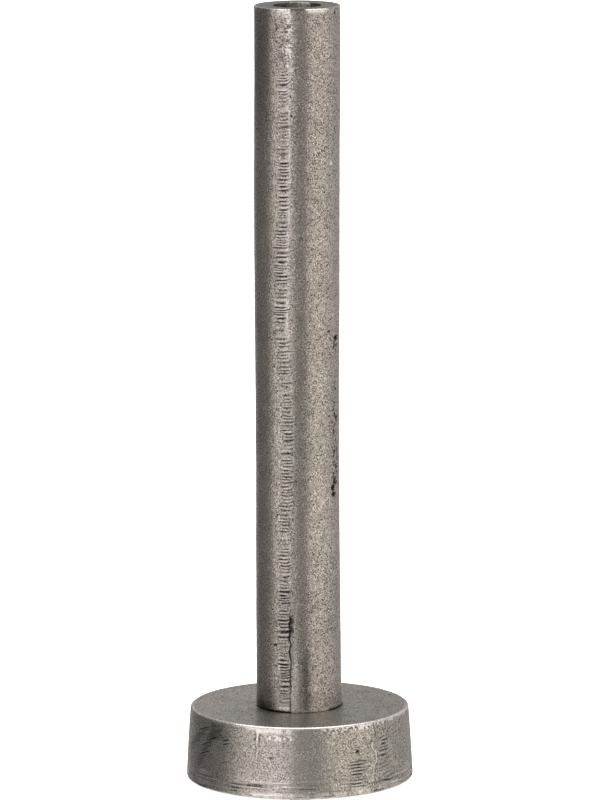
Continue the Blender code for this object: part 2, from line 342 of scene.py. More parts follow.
def stem_strip(angle, above, points):
    """The ground parting strips, front and back: rise, wear and grime."""
    rise = np.zeros_like(angle)
    wear_and_highlight = np.zeros_like(angle)
    grime_and_shade = np.zeros_like(angle)
    for turn, seed in ((0, 20), (180, 40)):
        across = np.radians(around(angle, along_path(STRIP_PATH, above, 1) + turn)) * STEM_RADIUS
        half = STRIP_HALF + 0.35 * line_noise(above, 19, seed)
        lane = window(across, -half, half, 0.9)
        rise -= 0.085 * lane * np.maximum(1 - (across / half) ** 2, 0)

        strong = window(above, 40, 334, 9) * (0.55 + 0.45 * stretches(above, 5.5, seed + 1, -0.40, 0.30))
        length = along_path(STRIP_PATH, above, 2)
        curled = window(above, 316, 334, 4)
        hook = 0.45 + 1.2 * curled
        grooves, ridges = chatter(across, above, STRIP_PITCH, length, seed + 2, 0.92, lean=0.02, hook=hook)
        side_grooves, side_ridges = chatter(across + 4, above, 1.7, 2.6, seed + 30, keep=0.5)
        side = window(above, 45, 72, 4) + 0.35 * window(above, 200, 250, 12)
        grooves = np.maximum(grooves * strong, 0.8 * side_grooves * side)
        ridges = np.maximum(ridges * strong, 0.6 * side_ridges * side)
        rise += 0.045 * ridges - 0.110 * grooves
        grime_and_shade += 1.55 * grooves + 0.10 * lane
        wear_and_highlight += (0.80 + 0.45 * curled) * ridges

        lip = bell(across, half + 0.30 * line_noise(above, 1.5, seed + 12), 0.34)
        lip = lip * stretches(above, 2.6, seed + 13, -0.15, 0.55)
        rise += 0.025 * lip
        wear_and_highlight += 0.55 * lip * (0.3 + 0.7 * smoothstep(80, 100, above))
        high = smoothstep(170, 215, above)
        wear_and_highlight += 0.20 * high * window(across, 0.45 * half, 1.25 * half, 0.5)
        grime_and_shade += 0.13 * (1 - high) * window(across, 0.75 * half, 1.75 * half, 0.5)

        # Towards the top the marks give way to torn metal
        upper = smoothstep(316, 345, above)
        flat = points * np.array([1, 1, 1.35])
        rough = uneven(flat, ((0.7, 0.85, seed + 14), (0.5, 0.55, seed + 15)))
        near_lip = window(across, 0.30 * half, 1.65 * half, 0.6)
        rise += 0.045 * upper * rough * window(across, -1.8 * half, 1.3 * half, 1.2)
        wear_and_highlight += upper * smoothstep(0.10, 0.45, rough) * (0.85 * near_lip + 0.40 * lane)
        grime_and_shade += 0.65 * upper * smoothstep(0.15, 0.50, -rough) * window(across, -1.8 * half, 1.6 * half, 1)
    return rise, wear_and_highlight, grime_and_shade


def stem_crack(angle, above, points):
    """The cold shut, a torn gouge at its top, the metal to its right a little lower, with painted shade in
    the gouge and on the lower step: rise, wear and grime.
    """
    middle = along_path(CRACK_PATH, above, 1) + 0.75 * line_noise(above, 1.1, 62)
    across = np.radians(angle - middle) * STEM_RADIUS
    reach = window(above, 30, 79.5, 1)
    depth = 0.55 + 0.45 * stretches(above, 3.6, 63, -0.5, 0.3)
    depth = depth * (0.60 + 0.40 * smoothstep(43, 50, above))
    crack = bell(across, 0, 0.29) * reach * depth
    gouge = window(across, 0.1, 1.9, 0.6) * window(above, 69.5, 79, 2)
    gouge = gouge * (0.62 + 0.38 * noise3(points, 1.1, 64))
    step = window(across, 0.15, 2.2, 0.6) * window(above, 52, 79, 4)
    rise = -(0.30 * crack + 0.15 * gouge + 0.05 * step)
    # Painted shade: the darkening of the gouge and of the lower step
    grime_and_shade = 1.25 * crack + 0.85 * gouge + 0.15 * step * (0.6 + 0.4 * noise3(points, 2.4, 65))
    teeth = bell(across, -0.55, 0.28) * reach
    wear_and_highlight = 0.80 * teeth * stretches(above, 1.3, 66, -0.3, 0.4) * window(above, 54, 82, 6)
    return rise, wear_and_highlight, grime_and_shade


def stem_foot(angle, above, points):
    """The dark patch, burr and rubbed edge at the foot, and the low end of a painted dark reflection down the
    front: rise, wear and grime.
    """
    up = above - (STEM_FOOT - UNDERSIDE)
    patch = np.exp(-(((angle + 58) / 24) ** 4) - ((up / 9) ** 2))
    grime_and_shade = 0.95 * patch * (0.85 + 0.3 * noise3(points, 3, 67))
    # Painted dark reflection: the low end of the dark band down the front
    grime_and_shade += 0.50 * bell(angle, 10, 5.5) * window(above, 32, 62, 9)
    wear_and_highlight = 0.15 * window(angle, -34, 2, 4) * (1 - smoothstep(40, 46, above))
    wear_and_highlight += 0.20 * window(angle, -10.5, 1, 3) * window(above, 30, 60, 12)
    burr = window(angle, -29, -12.5, 2) * bell(up, 1.4, 1)
    wear_and_highlight += 1 * burr * patches(points, 1.5, 68, -0.5, 0.2)
    edge = window(angle, -12, 48, 5) * bell(up, 0.1, 0.75)
    wear_and_highlight += 0.75 * edge * patches(points, 2, 74, -0.5, 0.3)
    return 0.10 * burr * (0.7 + 0.3 * noise3(points, 1.4, 73)), wear_and_highlight, grime_and_shade


def stem_rim(angle, above, points):
    """The wall just under the rim, its rubbed wear brightened as painted highlights where the edge catches
    the light, and a painted dark reflection at the front: rise, wear and grime.
    """
    down = CAST_HEIGHT - above
    rubbed = window(angle, -37, -9, 1.5) + window(angle, 12, 44, 3)
    rubbed += 0.5 * window(angle, -82, -56, 5) + 0.5 * window(angle, 130, 190, 12)
    wear_and_highlight = 1.3 * bell(down, 0, 1.7) * np.clip(rubbed, 0, 1) * patches(points, 1.9, 75, -0.75, 0.1)
    return 0.0, wear_and_highlight, 0.55 * window(angle, -8, 10.5, 1.5) * bell(down, 0, 0.8)


def stem_detail(angle, above):
    """Rise of the stem's wall, and its wear, grime and porous shares, for arrays of angle and height. The
    wear and grime include painted highlights and painted shade.
    """
    points = ring_points(STEM_RADIUS, angle, above)
    features = (stem_strip, stem_crack, stem_foot, stem_rim)
    rise, wear_and_highlight, grime_and_shade = added_up(features, angle, above, points)
    rise += uneven(points, STEM_SKIN)

    ragged = 1 + 0.30 * noise3(points, 0.8, 71)
    for depth, pit in pits(STEM_PITS, STEM_RADIUS, angle, above, ragged):
        rise -= 0.62 * depth * pit
        grime_and_shade += 1.7 * pit
    porous = 0.30 * window(angle, -88, -42, 8)
    porous += 0.26 * window(angle, 8, 62, 10) * smoothstep(225, 290, above)
    porous = pore_patches(porous, angle, above, STEM_PORE_PATCHES)
    speck = smoothstep(0.46, 0.66, noise3(points, 0.85, 72) + 0.38 * porous) * smoothstep(0.45, 0.62, porous)
    rise -= 0.16 * speck
    grime_and_shade += speck
    torn = 0.5 + 0.5 * patches(points, 0.7, 79, -0.2, 0.4)
    for depth, nick in pits(STEM_NICKS, STEM_RADIUS, angle, above, 1):
        rise -= depth * nick * torn
        wear_and_highlight += 0.95 * nick * torn

    # Broad bands of darker skin, and from 0 to 11 degrees a painted dark reflection down the front
    grime_and_shade += 0.12 * window(above, 48, 92, 10)
    grime_and_shade += 0.07 * window(angle, 0, 11, 4)
    grime_and_shade += 0.43 * window(angle, -92, -40, 5) * smoothstep(285, 330, above)
    return rise, np.clip(wear_and_highlight, 0, 1), np.clip(grime_and_shade, 0, 1), porous


STEM_COARSE_STEP = 0.83
# Column spans of the stem's wall: start and end angle, column count, and fine rows for each coarse one
STEM_SPANS = [(-90, -35, 24, 1), (-35, -4, 34, 3), (-4, 42, 19, 1), (42, 80, 25, 2), (80, 270, 38, 1)]
RIM_ROUND = 0.42
RIM_FACE_RADII = (18.6, 17.8, 17, 16, 15, 14, 13, 12.3, 11.8)
SOCKET_MOUTH = 0.22
SOCKET_MOUTH_DROP = 0.04
BORE_ROWS = 22
# Radius and height over the socket's floor
SOCKET_FLOOR_ROWS = [(SOCKET_RADIUS - 0.09, 0.09), (10.9, 0), (10.3, 0), (9, 0), (7, 0), (5, 0)]
SOCKET_FLOOR_ROWS += [(3, 0), (1.2, -0.1)]
TAP_RADIUS = 4.08
TAP_TIP = 29.2
# Radius and height over the seat, in from the foot and up the tapped hole
SEAT_ROWS = [(15, 0), (9, 0), (TAP_RADIUS + 0.5, 0), (TAP_RADIUS, 0.5), (TAP_RADIUS, 14), (TAP_RADIUS, 27)]


def wall_faces(surface, columns, coarse):
    """Faces of the stem's wall, whose finer columns have a whole number of rows for each coarse one."""
    for left, right in zip(columns, turned(columns)):
        if len(left) == len(right):
            surface.faces += zip(left, left[1:], right[1:], right)
            continue
        flip = len(left) > len(right)
        plain, fine = (right, left) if flip else (left, right)
        count = (len(fine) - 1) // coarse
        middle = (count + 1) // 2
        for row in range(coarse):
            upper, lower = plain[row], plain[row + 1]
            run = fine[row * count : (row + 1) * count + 1]
            fans = [(upper if sub < middle else lower, run[sub + 1], run[sub]) for sub in range(count)]
            fans.append((upper, lower, run[middle]))
            surface.faces += [fan[::-1] for fan in fans] if flip else fans


def make_stem():
    angles = spaced_angles([span[:3] for span in STEM_SPANS])
    fineness = np.concatenate([np.full(count, fine) for _, _, count, fine in STEM_SPANS])
    foot_round = 0.30 + 0.45 * (window(angles, -85, -12, 4) + window(angles, 44, 275, 4))
    wall_top = STEM_TOP - RIM_ROUND
    coarse = int(round((wall_top - STEM_SEAT) / STEM_COARSE_STEP))
    surface = Surface()

    wall = []
    for angle, fine, rounding in zip(angles, fineness, foot_round):
        heights = np.linspace(wall_top, STEM_SEAT + rounding, coarse * fine + 1)
        above = heights - UNDERSIDE
        rise, wear_and_highlight, grime_and_shade, porous = stem_detail(np.full_like(above, angle), above)
        points = ring_points(stem_wall_radius(above) + rise, angle, heights)
        points[:, 0] += stem_lean(above)
        wall.append(surface.add(points, wear_and_highlight, grime_and_shade, porous))
    wall_faces(surface, wall, coarse)

    def add(radius, height, wear_and_highlight=0, grime_and_shade=0):
        height = np.broadcast_to(height, angles.shape)
        points = ring_points(radius, angles, height)
        points[:, 0] += stem_lean(height - UNDERSIDE)
        return surface.add(points, wear_and_highlight, grime_and_shade)

    # Rim: the rounded outer edge, the sawn face, the socket's mouth, bore and floor
    above = CAST_HEIGHT - RIM_ROUND
    top_rise, top_wear_and_highlight, top_grime_and_shade, _ = stem_detail(angles, np.full(len(angles), above))
    rough_round = 1 + 0.45 * noise3(ring_points(STEM_RADIUS, angles, STEM_TOP), 4, 81)
    # The rim's rounding is painted dark at the front as a dark reflection, and carries the painted highlights
    # of the wall under it
    painted_dark_front = window(angles, -9.5, 10.5, 1.5)
    rings = [[column[0] for column in wall]]
    for step in range(1, 5):
        bend = math.radians(22.5 * step)
        fade = 1 - step / 5
        radius = stem_wall_radius(above) - RIM_ROUND * (1 - math.cos(bend)) * rough_round + top_rise * fade
        wear_and_highlight = top_wear_and_highlight * (0.4 + 0.6 * fade) + 0.12 - 0.9 * painted_dark_front
        rings.append(add(radius, wall_top + RIM_ROUND * math.sin(bend), wear_and_highlight, top_grime_and_shade * fade + 0.85 * painted_dark_front))
    for radius in RIM_FACE_RADII:
        place = ring_points(radius, angles, STEM_TOP)
        drop = uneven(place, ((0.030, 7, 82), (0.010, 1.6, 83))) - 0.03
        rings.append(add(radius, STEM_TOP + drop, 0, 0.65 + 0.10 * noise3(place, 3, 84)))
    mouth_top = STEM_TOP - SOCKET_MOUTH_DROP
    for bend in np.radians([90, 60, 30]):
        radius = SOCKET_RADIUS + SOCKET_MOUTH * (1 - math.cos(bend))
        rings.append(add(radius, mouth_top - SOCKET_MOUTH * (1 - math.sin(bend)), 0, 0.55))
    bore_top = mouth_top - SOCKET_MOUTH
    for share in np.linspace(0, 1, BORE_ROWS) ** 1.6:
        height = bore_top + (SOCKET_FLOOR + 0.4 - bore_top) * share
        rough = noise3(ring_points(SOCKET_RADIUS, angles, height), 1.1, 85)
        # Painted light in the bore: its wall is painted dark as shade, with painted highlights on the far
        # wall near 162 and 189 degrees and a painted reflection on the front wall
        lit = window(around(angles, 162), -15, 15, 3)
        grey = window(around(angles, 189), -12, 11, 3)
        front = window(around(angles, -25), -60, 60, 15)
        grime_and_shade = 0.66 - 0.66 * lit - 0.60 * grey - 0.66 * front + 0.35 * lit * smoothstep(0.1, 0.5, rough)
        wear_and_highlight = 1.2 * lit * smoothstep(-0.60, 0.05, -rough) + 0.20 * grey + 1 * front
        rings.append(add(SOCKET_RADIUS + 0.03 * rough, height, wear_and_highlight, grime_and_shade))
    rings += [add(radius, SOCKET_FLOOR + lift, 0, 0.6) for radius, lift in SOCKET_FLOOR_ROWS]
    surface.join(rings[::-1])
    drill_point = np.array([[stem_lean(SOCKET_FLOOR - UNDERSIDE), 0, SOCKET_FLOOR - 0.5]])
    surface.fan(rings[-1], surface.add(drill_point, 0, 0.6))

    # Foot: the rounded edge, the seat and the tapped hole
    above = STEM_SEAT + foot_round - UNDERSIDE
    low_rise, low_wear, low_grime_and_shade, _ = stem_detail(angles, above)
    rings = [[column[-1] for column in wall]]
    for step in range(1, 4):
        bend = math.radians(30 * step)
        fade = 1 - step / 4
        radius = stem_wall_radius(above) - foot_round * (1 - math.cos(bend)) + low_rise * fade
        height = STEM_SEAT + foot_round * (1 - math.sin(bend))
        grime_and_shade = low_grime_and_shade + 0.5 * step * smoothstep(0.4, 0.7, foot_round)
        rings.append(add(radius, height, low_wear * (0.3 + 0.7 * fade), grime_and_shade))
    rings += [add(radius, STEM_SEAT + depth, 0, 0.4) for radius, depth in SEAT_ROWS]
    surface.join(rings)
    tap_point = np.array([[stem_lean(STEM_SEAT - UNDERSIDE), 0, STEM_SEAT + TAP_TIP]])
    surface.fan(rings[-1][::-1], surface.add(tap_point, 0, 0.4))
    return surface.piece("cast_stem")


# ---- the base
# Column spans of the base, finest at the flash ridge and the seam: start and end angle, and column count
BASE_SPANS = [(-90, -25, 120), (-25, -19.6, 26), (-19.6, 38.4, 106), (38.4, 45.2, 34), (45.2, 90, 82)]
BASE_SPANS += [(90, 270, 90)]
BASE_SIDE_ROWS = 103
BASE_EDGE_ROWS = 6
BASE_SWELL = 0.22
BASE_BELLY = 0.16
BASE_TOP_RADIUS = 50.4
BASE_TOP_ROUND = 0.80
BASE_DULL_ROUND = 0.55
BASE_FOOT_ROUND = 1
BASE_SKIN = ((0.075, 17, 111), (0.034, 6, 112), (0.020, 2.4, 113), (0.018, 1.2, 114))
TOP_SKIN = ((0.050, 15, 135), (0.020, 3.2, 136), (0.010, 1.5, 137))
CAVITY_MOUTH = 41
CAVITY_ROOF_RADIUS = 39.2
CAVITY_ROOF = BASE_TOP - 7
CAVITY_ROUND = 4
BOSS_FACE = CAVITY_ROOF - 6
BOLT_HOLE = 4.5

# The zigzag of the parting seam on the base's right: height above the underside, and angle
SEAM_PATH = [(0, 39.8), (2.3, 39.8), (7.6, 40.4), (11.4, 40.9), (12.9, 41.5), (15.2, 43.4), (19, 42.7)]
SEAM_PATH += [(22, 39.8), (25, 41.3), (28.1, 42.1), (30.4, 41.4), (33.4, 41)]
RIDGE_ANGLE = -22.3
# A small dark dent in the top face, near its left front edge
TOP_DENT = (-36.4, -21.6)

# Pores of the base's side, with the same columns as the stem's
BASE_PITS = [
    (31, 20.6, 2, 1.6, 0.70, 0), (-14.4, 18.8, 1.9, 1.3, 0.45, 0), (-12.3, 15.6, 0.9, 0.9, 0.25, 0),
    (-8, 19.4, 0.8, 0.8, 0.25, 0), (36.5, 5.6, 1, 1.2, 0.35, 0), (18, 8.4, 1.2, 1, 0.25, 0),
    (33.8, 4, 1, 1.3, 0.30, 0), (-30.5, 20.4, 0.7, 0.9, 0.20, 0), (-25.6, 29, 0.9, 0.8, 0.25, 0),
    (112, 17, 1.7, 1.9, 0.6, 0), (118, 12.5, 1.1, 1, 0.4, 0), (-117, 22, 1.5, 1.2, 0.5, 0),
    (171, 9, 1.8, 1.5, 0.6, 0), (-158, 16, 1.2, 1.5, 0.5, 0),
]
BASE_PORE_PATCHES = [(-13, 20, 12, 11, 0.65), (-60, 8, 14, 7, 0.5), (48, 29, 10, 4, 0.4)]

# Groups of grinding marks: middle in degrees at a height, its drift in degrees for each millimetre up, lowest
# and highest mark, pitch, length, strength, random draw, lean, and smudge between the marks
BASE_CHATTER = [
    (-58.2, 27.9, 1.47, 15.5, 29.5, 1.50, 6.4, 1.20, 131, 0.50, 0.10),
    (-53, 24.2, 0.76, 9.5, 26.5, 1.50, 6, 1.25, 141, 0.50, 0.10),
    (-42.5, 20, 0.10, 13.5, 26.5, 1.45, 5.6, 0.70, 151, 0.30, 0.14),
    (-49, 28.5, 0.30, 24, 31.5, 1.35, 8, 0.75, 156, 0.30, 0.34),
    (31, 12, 0.00, 4.5, 16.4, 1.45, 9.2, 0.85, 161, -0.03, 0.14),
    (48.6, 18, 0.05, 10.5, 26, 1.70, 6, 0.62, 171, 0.07, 0.12),
    (52, 8, 0.00, 4, 11.5, 1.60, 8.4, 0.55, 181, 0.05, 0.10),
    (160, 17, 0.40, 5, 29, 1.40, 10, 0.60, 191, 0.06, 0.16),
]
CHATTER_REACH = 60


def base_side_radius(above):
    """The drafted side, very slightly bellied."""
    share = above / BASE_HEIGHT
    belly = BASE_SWELL + BASE_BELLY * np.sin(math.pi * share)
    return BASE_RADIUS + (BASE_TOP_RADIUS - BASE_RADIUS) * share + belly


def base_chatter(angle, above, _points):
    """Grinding marks on the base's side: rise, wear and grime."""
    grooves = np.zeros_like(angle)
    ridges = np.zeros_like(angle)
    for middle, at, drift, low, high, pitch, length, strength, seed, lean, smear in BASE_CHATTER:
        across = np.radians(angle) * BASE_RADIUS - np.radians(middle + drift * (above - at)) * BASE_RADIUS
        fade = strength * window(above, low, high, 1) * (np.abs(around(angle, middle)) < CHATTER_REACH)
        cut, raised = chatter(across, above, pitch, length, seed, 0.97, lean, jitter=0.40, thick=0.22)
        smudge = smear * window(across, -0.5 * length, 0.5 * length, 1.2)
        grooves = np.maximum(grooves, np.maximum(cut, smudge) * fade)
        ridges = np.maximum(ridges, raised * fade)
    return 0.030 * ridges - 0.085 * grooves, 0.60 * ridges, 1.70 * grooves


def base_ridge(angle, above, _points):
    """A thin beaded flash ridge down from the top edge, dark along both sides: rise, wear and grime."""
    across = np.radians(angle - RIDGE_ANGLE - 0.48 * line_noise(above, 2.4, 121)) * BASE_RADIUS
    top = smoothstep(28, 31, above)
    beads = np.maximum(0.25 + 0.75 * stretches(above, 2, 122, -0.25, 0.25), top)
    shown = smoothstep(16, 19, above) * beads
    half = 0.14 + 0.42 * beads + 0.40 * smoothstep(30, 31.5, above)
    ridge = bell(across, 0, half, power=4) * shown
    sides = bell(np.abs(across), half + 0.55, 0.45) * shown
    return 0.09 * ridge - 0.05 * sides, 1.50 * ridge, 0.85 * sides * (1 - top)


def base_seam(angle, above, _points):
    """The parting seam's zigzag, one half of the casting proud of the other: rise, wear and grime."""
    middle = along_path(SEAM_PATH, above, 1) + 0.42 * line_noise(above, 0.9, 123)
    across = np.radians(angle - middle) * BASE_RADIUS
    lower_fade = 0.35 + 0.65 * smoothstep(9, 14, above)
    broken = 0.20 + 0.80 * stretches(above, 1.3, 124, -0.25, 0.25)
    seam = bell(across, 0, 0.31, power=4) * lower_fade * broken
    # The shaded side changes over where the seam turns back
    side = np.where((above > 18.5) & (above <= 26), 1, -1)
    shade = bell(across, -0.85 * side, 0.36) * (0.50 + 0.50 * lower_fade)
    rise = 0.06 * seam - 0.07 * shade + 0.05 * window(across, 0, 9, 0.8)
    return rise, 0.95 * seam, 0.95 * shade * (0.6 + 0.4 * line_noise(above, 1.4, 130))


def base_foot_band(angle, above, points):
    """The foot, dressed on a belt that left level scratches, with a painted highlight along its bottom at the
    front: rise, wear and grime.
    """
    band = 1 - smoothstep(6.5, 10, above + 1.8 * line_noise(angle, 22, 125))
    band = band * (0.38 + 0.62 * patches(points * np.array([1, 1, 3]), 6.5, 149, -0.25, 0.35))
    drawn = np.stack([angle / 13, above / 0.52, np.zeros_like(angle)], axis=-1)
    scratches = noise3(drawn @ LATTICE_TURN.T, 1, 126)
    # Painted highlight along the foot's bottom edge at the front
    painted_edge_highlight = bell(above, 1.6, 1.3) * window(angle, -40, 48, 9) * patches(points, 2.1, 150, -0.4, 0.3)
    wear_and_highlight = 0.85 * band * smoothstep(0.15, 0.60, -scratches) + 0.55 * painted_edge_highlight
    return 0.030 * band * scratches, wear_and_highlight, 0.85 * band * smoothstep(0.20, 0.65, scratches)


def base_edge(angle, above, points):
    """Rubbed patches, chips and struck specks at and below the top edge: rise, wear and grime."""
    down = BASE_HEIGHT - above
    rubbed = window(angle, -22.5, -4, 1.5) * window(down, 0.8, 3, 0.7)
    rubbed += 0.8 * window(angle, -33, -23, 2) * window(down, 0.8, 1.9, 0.5)
    rubbed = np.clip(rubbed, 0, 1)
    chipped = window(angle, 10, 39, 2) * window(down, 0.6, 3.1, 0.6)
    chipped += 0.9 * window(angle, 39, 88, 3) * window(down, 0.5, 1.9, 0.6)
    chips = noise3(points, 0.70, 216)
    struck = window(angle, -17, -3.5, 1.5) * window(down, 4, 6.2, 0.8)
    struck += 0.8 * window(angle, 11.5, 17.5, 1.5) * window(down, 6.3, 8.4, 0.8)
    wear_and_highlight = 0.16 * window(angle, -38, 14, 8) + 0.85 * rubbed * patches(points, 2.2, 215, -0.6, 0.2)
    wear_and_highlight += 0.95 * chipped * smoothstep(-0.05, 0.35, chips)
    wear_and_highlight += 1.3 * struck * patches(points, 0.9, 129, 0.02, 0.30)
    grime_and_shade = 0.10 * smoothstep(38, 44, angle) * (1 - smoothstep(110, 150, angle))
    grime_and_shade += 0.75 * chipped * smoothstep(0.10, 0.45, -chips)
    return 0.05 * chipped * chips - 0.10 * rubbed, wear_and_highlight, grime_and_shade


def base_detail(angle, above):
    """Rise of the base's side, and its wear, grime and porous shares, for arrays of angle and height. The
    wear and grime include painted highlights and painted shade.
    """
    points = ring_points(BASE_RADIUS, angle, above)
    features = (base_ridge, base_seam, base_chatter, base_foot_band, base_edge)
    rise, wear_and_highlight, grime_and_shade = added_up(features, angle, above, points)
    rise += uneven(points, BASE_SKIN)

    ragged = 1 + 0.3 * noise3(points, 0.8, 127)
    for depth, pit in pits(BASE_PITS, BASE_RADIUS, angle, above, ragged):
        rise -= 0.6 * depth * pit
        grime_and_shade += 1.5 * depth * pit
    porous = pore_patches(np.zeros_like(angle), angle, above, BASE_PORE_PATCHES)

    # Dark casting skin left below the top edge at the left
    skin = 0.8 * bell(angle, -53, 15) * smoothstep(6, 20, above) + 0.6 * bell(angle, -36, 9)
    grime_and_shade += 0.34 * skin * (0.75 + 0.5 * noise3(points, 5, 128))
    return rise, np.clip(wear_and_highlight, 0, 1), np.clip(grime_and_shade, 0, 1), porous


def base_edge_wear_and_highlight(angle):
    """How bright the top edge is, rubbed wear and a painted highlight: crisp from the front left to the
    right, dull at the far left.
    """
    front = window(angle, -37, 96, 3)
    back = 0.45 + 0.35 * line_noise(angle, 31, 132)
    broken = 0.86 + 0.14 * line_noise(angle, 3, 133)
    return np.clip((front + (1 - front) * np.clip(back, 0.05, 1) * 0.45) * broken, 0, 1)


def cavity_rows():
    """(radius, height) of the underside's rows from the standing ring in to the boss."""
    wall_low = UNDERSIDE + 1.2
    wall_high = CAVITY_ROOF - CAVITY_ROUND
    rows = [(CAVITY_MOUTH + 0.35, UNDERSIDE + 0.05), (CAVITY_MOUTH, UNDERSIDE + 0.4)]
    rows += zip(np.linspace(CAVITY_MOUTH, CAVITY_ROOF_RADIUS, 12), np.linspace(wall_low, wall_high, 12))
    for bend in np.radians([18, 36, 54, 72, 90]):
        radius = CAVITY_ROOF_RADIUS - CAVITY_ROUND * (1 - math.cos(bend))
        rows.append((radius, wall_high + CAVITY_ROUND * math.sin(bend)))
    rows += [(radius, CAVITY_ROOF) for radius in (33.5, 31, 28.5, 26, 23.5, 21, 18.5, 16.5, 15)]
    rows += [(14.1, CAVITY_ROOF - 0.15), (13.6, CAVITY_ROOF - 0.7), (13.3, CAVITY_ROOF - 2.5)]
    return rows + [(13.1, BOSS_FACE + 1.2), (12.9, BOSS_FACE + 0.3), (12.6, BOSS_FACE)]


def make_base():
    angles = spaced_angles(BASE_SPANS)
    signed = around(angles, 0)
    surface = Surface()
    rings = []

    def add(radius, height, wear_and_highlight=0, grime_and_shade=0, porous=0):
        rings.append(surface.add(ring_points(radius, angles, height), wear_and_highlight, grime_and_shade, porous))

    edge_wear_and_highlight = base_edge_wear_and_highlight(signed)
    crisp = window(signed, -40, 98, 6)
    rough_round = 1 + 0.16 * noise3(ring_points(BASE_TOP_RADIUS, angles, BASE_TOP), 4, 134)
    edge_round = (BASE_TOP_ROUND + BASE_DULL_ROUND * (1 - crisp)) * rough_round

    # Top face from the bolt hole out to the edge, darker where the stem's foot was wiped round, and a little
    # darker on its right as painted shade
    foot_reach = STEM_RADIUS + 0.3
    undercut = window(signed, -85, -12, 4) + 0.8 * window(signed, 46, 275, 4)
    wiped = window(signed, -62, -20, 9)
    # Painted shade: the right of the top face a little darker
    right = smoothstep(8, 75, signed) * (1 - smoothstep(120, 170, signed))
    for radius in [4.5, 5.5, 9, 14, 17.5, *np.linspace(19.2, 48.6, 46)]:
        place = ring_points(radius, angles, BASE_TOP)
        drop = smoothstep(foot_reach - 0.6, foot_reach + 1.4, radius) * (uneven(place, TOP_SKIN) - 0.05)
        speck = patches(place, 1.4, 138, 0.55, 0.85)
        dent = dimple(place[:, 0] - TOP_DENT[0], place[:, 1] - TOP_DENT[1], 0.9, 1.3)
        grime_and_shade = 0.20 + 0.06 * right + 0.4 * speck + 0.8 * dent + 0.10 * patches(place, 9, 140, -0.2, 0.7)
        grime_and_shade += 0.75 * bell(radius, foot_reach, 0.7) * undercut
        grime_and_shade += 0.35 * bell(radius, foot_reach + 1.5, 3.2) * wiped
        add(radius, BASE_TOP + drop - 0.01, 0, grime_and_shade, 0.22)

    # Rounded top edge, with a painted highlight across the middle of its rounding
    edge_above = BASE_HEIGHT - edge_round
    centre = base_side_radius(edge_above) - edge_round
    for step in range(1, 8):
        bend = math.radians(90 - 90 * (step - 0.5) / 7)
        height = BASE_TOP - 0.05 - edge_round * (1 - math.sin(bend))
        painted_edge_highlight = bell(step, 3.4, 2.3)
        add(centre + edge_round * math.cos(bend), height, edge_wear_and_highlight * (0.45 + 0.55 * painted_edge_highlight), 0.05)

    # Drafted side, whose first rows follow the uneven edge
    top_above = edge_above.min() - 0.15
    for row in range(BASE_SIDE_ROWS):
        share = row / (BASE_SIDE_ROWS - 1)
        above = np.full(len(angles), top_above + (BASE_FOOT_ROUND - top_above) * share)
        if row < BASE_EDGE_ROWS:
            start = edge_above - 0.10
            above = start + (above - start) * (row / BASE_EDGE_ROWS) ** 1.2
        rise, wear_and_highlight, grime_and_shade, porous = base_detail(signed, above)
        # Painted highlight carried on just under the top edge
        wear_and_highlight = wear_and_highlight + 0.6 * bell(edge_above - above, 0, 0.45) * edge_wear_and_highlight
        add(base_side_radius(above) + rise, UNDERSIDE + above, wear_and_highlight, grime_and_shade, porous)

    # Rounded foot and standing ring
    rise, wear_and_highlight, grime_and_shade, _ = base_detail(signed, np.full(len(angles), BASE_FOOT_ROUND))
    for step in range(1, 7):
        bend = math.radians(15 * step)
        fade = 1 - step / 6
        radius = base_side_radius(BASE_FOOT_ROUND) - BASE_FOOT_ROUND * (1 - math.cos(bend)) + rise * fade
        height = UNDERSIDE + BASE_FOOT_ROUND * (1 - math.sin(bend))
        rubbed = 0.45 + 0.45 * patches(ring_points(radius, angles, height), 3.5, 148, -0.4, 0.4)
        add(radius, height, np.maximum(wear_and_highlight * fade, rubbed), grime_and_shade * fade)
    for radius in np.linspace(51, 42, 10):
        place = ring_points(radius, angles, UNDERSIDE)
        add(radius, UNDERSIDE + 0.02 * (1 + noise3(place, 2.5, 139)), 0.25, 0.15)

    # Dished underside, boss and bolt hole
    for radius, height in cavity_rows():
        place = ring_points(radius, angles, height)
        rough = uneven(place, ((0.16, 7, 145), (0.08, 2.4, 146))) * (height > BOSS_FACE + 0.01)
        add(radius + 0.5 * rough, height + 0.7 * rough, 0, 0.30 + 0.25 * noise3(place, 5, 147), 0.4)
    for radius in (11, 8.5, 6, 4.9):
        add(radius, BOSS_FACE, 0.30, 0.05)
    add(BOLT_HOLE, BOSS_FACE + 0.3, 0.1, 0.4)
    add(BOLT_HOLE, BASE_TOP - 3, 0, 0.4)

    surface.join(rings + rings[:1])
    return surface.piece("cast_base")


# ---- the fixing
THREAD_PITCH = 1.25
THREAD_DEPTH = 0.55
THREAD_CREST = 3.88
THREAD_ROWS = 10
THREAD_LEAD_IN = 0.9
NUT_HALF_FLATS = 6.5
NUT_CORNER = 7.36
NUT_FACE = 6.15
NUT_BORE = 4.02
NUT_BORE_MOUTH = 4.35
NUT_FACE_RADII = (4.9, 5.4, 5.9)
NUT_DEPTHS = (0, 0.12, 0.25, 0.4, 0.55, 0.7, 0.9, 1.3, 2.2, 3.2)
NUT_CHAMFER_SLOPE = math.tan(math.radians(30))
WASHER_FACE_RADII = (4.7, 5.6, 6.8, 8, 9.2, 10.3, 11.2)
WASHER_BORE = 4.2
WASHER_ROUND = 0.4
SPRING_BORE = 4.15
SPRING_ROUND = 0.22
SPRING_THICKNESS = 0.93
SPRING_SECTIONS = 90
SPRING_HALF_GAP = 5
PAD_EDGE = 0.12
PAD_SHARES = (0.04, 0.15, 0.3, 0.45, 0.6, 0.75, 0.87, 0.95)


